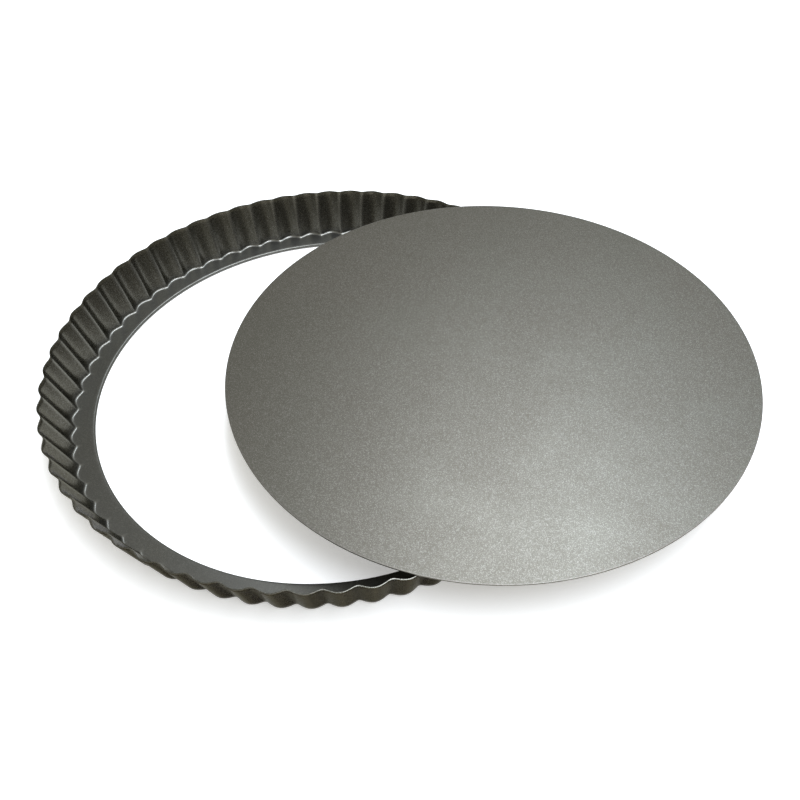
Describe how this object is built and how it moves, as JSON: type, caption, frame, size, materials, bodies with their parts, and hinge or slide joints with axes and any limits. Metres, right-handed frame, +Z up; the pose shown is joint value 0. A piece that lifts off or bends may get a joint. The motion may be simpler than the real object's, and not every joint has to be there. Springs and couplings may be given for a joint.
{
  "type": "tart pan",
  "caption": "Round loose-bottomed tart pan: a fluted, flared ring with an inward ledge, and its flat base plate lifted out and lying level across the rim.",
  "frame": {"origin": "centre of the ring's opening, on the surface that the ring stands on", "axes": "+Z up along the ring's axis; +X through the crest of one flute, on the side where the lifted-out base lies"},
  "size_m": [0.3471, 0.28, 0.0279],
  "materials": {
    "ring_coating": "satin dark grey non-stick coating on thin steel",
    "base_coating": "satin warm grey non-stick coating with a fine metallic fleck, on thin steel"
  },
  "bodies": {
    "ring": {"fluted_ring": "ring_coating"},
    "base": {"loose_base": "base_coating"}
  },
  "joints": [
    {"name": "base_lift", "type": "slide", "parent": "ring", "child": "base", "axis": [0, 0, 1], "range_m": [0, 0.08]}
  ]
}
